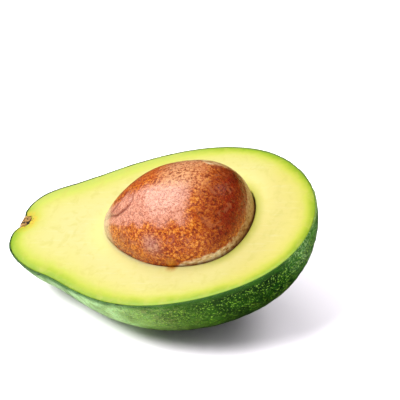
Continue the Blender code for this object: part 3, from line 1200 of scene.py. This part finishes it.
def seed_sides(f, base, at):
    """The ochre low side at -Y with its plum patch, the rusty flank and the duller far side."""
    low_side = f.product(f.band(at.z, 7.0 * MM, 0.0), f.band(at.y, -8.0 * MM, -16.0 * MM), 0.5)
    base = f.tint(low_side, base, "D8B458")
    plum = f.product(f.around(at.seed, PLUM_PLACE, 6.0 * MM), f.band(at.granules, 0.40, 0.56, 0.2, 0.7))
    base = f.mix(plum, base, "C89C90")
    flank = f.product(turn_band(f, at.angle, -4.0, 8.0), f.band(at.x, 6.0 * MM, -6.0 * MM), 0.45)
    base = f.mix(flank, base, "CC6430")
    return f.tint(at.behind, base, "C89C88")


def seed_wear_and_highlight(f, base, at):
    """Dark curls, a painted highlight as a pale pinkish stripe with the curls through it, a weaker painted
    highlight in pale tan above it, and a few dark spots.
    """
    curls = f.threads(at.seed, 1.7 * MM, 0.06, 3.0, 0.5, 2.2)
    base = f.mix(f.product(curls, 0.35), base, "983C18")
    # Painted highlight: a pale pinkish stripe along the upper side of the thin half.
    painted_highlight = f.product(
        turn_band(f, at.angle, -53.0, -43.0),
        turn_band(f, at.angle, 0.0, -12.0),
        f.band(at.along, 14.0 * MM, 10.0 * MM),
        f.band(at.granules, 0.36, 0.58, 0.55, 0.95),
    )
    base = f.mix(painted_highlight, base, f.mix(curls, "F0AE90", "B05030"))
    # Weaker painted highlight: pale tan between the stripe and the top.
    painted_halo = f.product(
        turn_band(f, at.angle, -20.0, -5.0),
        f.band(at.along, 20.0 * MM, 8.0 * MM),
        f.band(at.along, -4.0 * MM, 4.0 * MM),
        f.band(at.granules, 0.40, 0.56, 0.1, 0.75),
    )
    base = f.mix(painted_halo, base, "ECB484")
    spots = f.product(f.band(f.cells(at.seed, 2.4 * MM), 0.22, 0.12), f.band(at.blotches, 0.45, 0.55))
    spots = f.product(spots, f.math("SUBTRACT", 0.6, painted_highlight))
    base = f.mix(f.math("MAXIMUM", spots, 0.0), base, "4E1606")
    return f.mix(f.product(f.around(at.seed, ORANGE_PLACE, 3.0 * MM), 0.8), base, "D2861E")


def seed_coat(f, base, at):
    """Painted shade in the creases, the pale thin end, and the papery coat where it still clings, darkened
    low down by painted shade towards the gap.
    """
    # Painted shade: darker red-brown in the creases.
    base = f.mix(f.product(f.attribute("crease"), 0.85), base, "84301E")
    tip = f.product(f.attribute("tip"), f.band(at.granules, 0.35, 0.60, 0.55, 1.0), 0.8)
    base = f.mix(tip, base, "E2CCA2")
    streaks = f.noise(f.stretched(at.seed, (0.35, 1.0, 1.0)), 1.1 * MM, 4.0, 0.6)
    paper = f.ramp(streaks, PAPER_COLOURS)
    paper = f.tint(f.band(at.x, 19.0 * MM, 26.0 * MM), paper, "C8A48C")
    paper = f.tint(at.behind, paper, "D8B48C")
    # Painted shade: the coat darkens low down towards the gap round the seed.
    paper = f.mix(f.band(at.z, 0.6 * MM, -1.4 * MM, 0.0, 0.7), paper, "6A3A18")
    return f.mix(f.product(f.attribute("coat"), f.band(at.granules, 0.38, 0.55, 0.72, 1.0)), base, paper)


def seed_finish():
    """Brown seed: granular orange and red-brown, a pale tip and a tan papery coat."""
    f = Finish("avocado_seed")
    at = SimpleNamespace(seed=f.local(SEED_CENTRE, (0.0, 0.0, SEED_YAW), fruit_coordinates(f)))
    at.x, at.y, at.z = f.axes(at.seed)
    at.granules = f.noise(at.seed, 0.85 * MM, 4.0, 0.66, 0.6)
    at.blotches = f.noise(at.seed, 4.5 * MM, 4.0, 0.6, 0.8)
    wander = f.swing(f.noise(at.seed, 5.0 * MM, 3.0), 1.0)
    at.angle = f.math("MULTIPLY_ADD", wander, math.radians(11.0), f.math("ARCTAN2", at.y, at.z))
    at.along = f.math("MULTIPLY_ADD", wander, 4.0 * MM, at.x)
    at.behind = f.product(f.band(at.y, 1.0 * MM, 10.0 * MM), f.band(at.z, 18.0 * MM, 12.0 * MM))

    base = f.ramp(at.granules, SEED_COLOURS)
    for add_detail in (seed_ground, seed_flecks, seed_sides, seed_wear_and_highlight, seed_coat):
        base = add_detail(f, base, at)

    f.set(Base_Color=base)
    f.set(Roughness=f.band(at.granules, 0.3, 0.7, 0.42, 0.30))
    f.set(Coat_Weight=0.6, Coat_Roughness=0.22, IOR=1.5, Specular_IOR_Level=0.15)
    f.bump(
        (f.noise(at.seed, 1.4 * MM, 3.0, 0.5, 2.0), 0.24 * MM),
        (at.granules, 0.14 * MM),
        (f.noise(at.seed, 0.30 * MM, 3.0), 0.03 * MM),
    )
    return f.material


# -------- finish of the stem's base

STEM_COLOURS = ((0.34, "5C3A10"), (0.50, "B08038"), (0.66, "DCAE6C"))


def stem_finish():
    """Cut, dried wood of the stem's base: tan with dark pits."""
    f = Finish("avocado_stem")
    fruit = fruit_coordinates(f)
    wood = f.noise(f.stretched(fruit, (0.5, 1.0, 1.0)), 0.9 * MM, 4.0, 0.6)
    pits = f.noise(fruit, 1.5 * MM, 2.0, 0.5, 0.6)
    f.set(Base_Color=f.mix(f.band(pits, 0.49, 0.55), f.ramp(wood, STEM_COLOURS), "241402"))
    f.set(Roughness=f.band(wood, 0.3, 0.7, 0.55, 0.8))
    f.bump((wood, 0.15 * MM), (f.noise(fruit, 0.3 * MM, 3.0), 0.05 * MM))
    return f.material


# -------- studio

CAMERA_AZIMUTH = math.radians(21.1)
CAMERA_ELEVATION = math.radians(35.0)
CAMERA_DISTANCE = 0.6717
CAMERA_LENS = 179.2
SENSOR_WIDTH = 36.0
AIM_RIGHT = 0.0143
AIM_UP = 0.0082

FLOOR_SIZE = 6.0
FLOOR_COLOUR = (0.70, 0.667, 0.71, 1.0)
WORLD_STRENGTH = 0.31
WORLD_COLOUR = (0.985, 0.98, 1.0, 1.0)

# Azimuth round from -Y to +X and elevation above the floor in degrees, distance, width and
# height in metres, power in watts, and what the lamp does. A shade lamp lights surfaces but isn't
# mirrored in them, a gloss lamp only shows as a shine, and a floor lamp lights the floor alone.
LAMPS = {
    "panel": (-114.0, 54.0, 2.0, 1.9, 1.9, 34.0, "shade"),
    "softbox": (-78.0, 42.0, 2.0, 1.7, 1.2, 34.0, "gloss"),
    "back_softbox": (138.0, 46.0, 2.0, 0.5, 0.4, 1.2, "gloss"),
    "overhead": (21.0, 86.0, 2.0, 3.0, 3.0, 33.2, "shade"),
    "floor_left": (-60.0, 45.0, 2.0, 0.8, 0.8, 28.0, "floor"),
    "floor_front": (-30.0, 55.0, 2.0, 0.7, 0.7, 77.0, "floor"),
    "floor_right": (80.0, 52.0, 2.0, 1.8, 1.8, 9.0, "floor"),
    "floor_back": (150.0, 50.0, 2.0, 1.0, 1.0, 24.0, "floor"),
}


def direction(azimuth, elevation):
    """Unit vector towards azimuth round from -Y to +X, and elevation above the floor."""
    level = math.cos(elevation)
    return Vector((math.sin(azimuth) * level, -math.cos(azimuth) * level, math.sin(elevation)))


def set_up(item, location, back):
    """Stands a camera or a lamp here, with its back turned this way."""
    item.location = location
    item.rotation_mode = "QUATERNION"
    item.rotation_quaternion = back.to_track_quat("Z", "Y")
    bpy.context.scene.collection.objects.link(item)


def add_camera():
    back = direction(CAMERA_AZIMUTH, CAMERA_ELEVATION)
    right = Vector((math.cos(CAMERA_AZIMUTH), math.sin(CAMERA_AZIMUTH), 0.0))
    aim = LYING_POINT + AIM_RIGHT * right + AIM_UP * back.cross(right)
    camera = bpy.data.objects.new("camera", bpy.data.cameras.new("camera"))
    camera.data.lens = CAMERA_LENS
    camera.data.sensor_width = SENSOR_WIDTH
    set_up(camera, aim + CAMERA_DISTANCE * back, back)
    bpy.context.scene.camera = camera


def add_floor():
    shape = bmesh.new()
    bmesh.ops.create_grid(shape, x_segments=1, y_segments=1, size=FLOOR_SIZE / 2)
    finish = Finish("studio_floor")
    finish.set(Base_Color=FLOOR_COLOUR, Roughness=0.9, Specular_IOR_Level=0.0)
    floor = bpy.data.objects.new("floor", mesh_from(shape, "floor"))
    floor.data.materials.append(finish.material)
    bpy.context.scene.collection.objects.link(floor)
    floor.visible_glossy = False
    return floor


def add_world():
    world = bpy.data.worlds.new("studio")
    world.use_nodes = True
    background = world.node_tree.nodes["Background"]
    background.inputs["Color"].default_value = WORLD_COLOUR
    background.inputs["Strength"].default_value = WORLD_STRENGTH
    bpy.context.scene.world = world
    world.cycles_visibility.glossy = False


def add_lamps(floor):
    floor_only = bpy.data.collections.new("floor_only")
    floor_only.objects.link(floor)
    for name, (azimuth, elevation, distance, width, height, power, use) in LAMPS.items():
        light = bpy.data.lights.new(name, "AREA")
        light.shape = "RECTANGLE"
        light.size = width
        light.size_y = height
        light.energy = power
        lamp = bpy.data.objects.new(name, light)
        towards = direction(math.radians(azimuth), math.radians(elevation))
        set_up(lamp, LYING_POINT + distance * towards, towards)
        lamp.visible_diffuse = use != "gloss"
        lamp.visible_glossy = use == "gloss"
        if use == "floor":
            lamp.light_linking.receiver_collection = floor_only


add_camera()
add_world()
add_lamps(add_floor())
bpy.context.scene.view_settings.view_transform = "Standard"
make_skin(skin_finish(), stem_socket_mesh())
make_flesh(flesh_finish(), stem_socket_mesh())
make_seed(seed_finish())
make_stem_base(stem_finish())
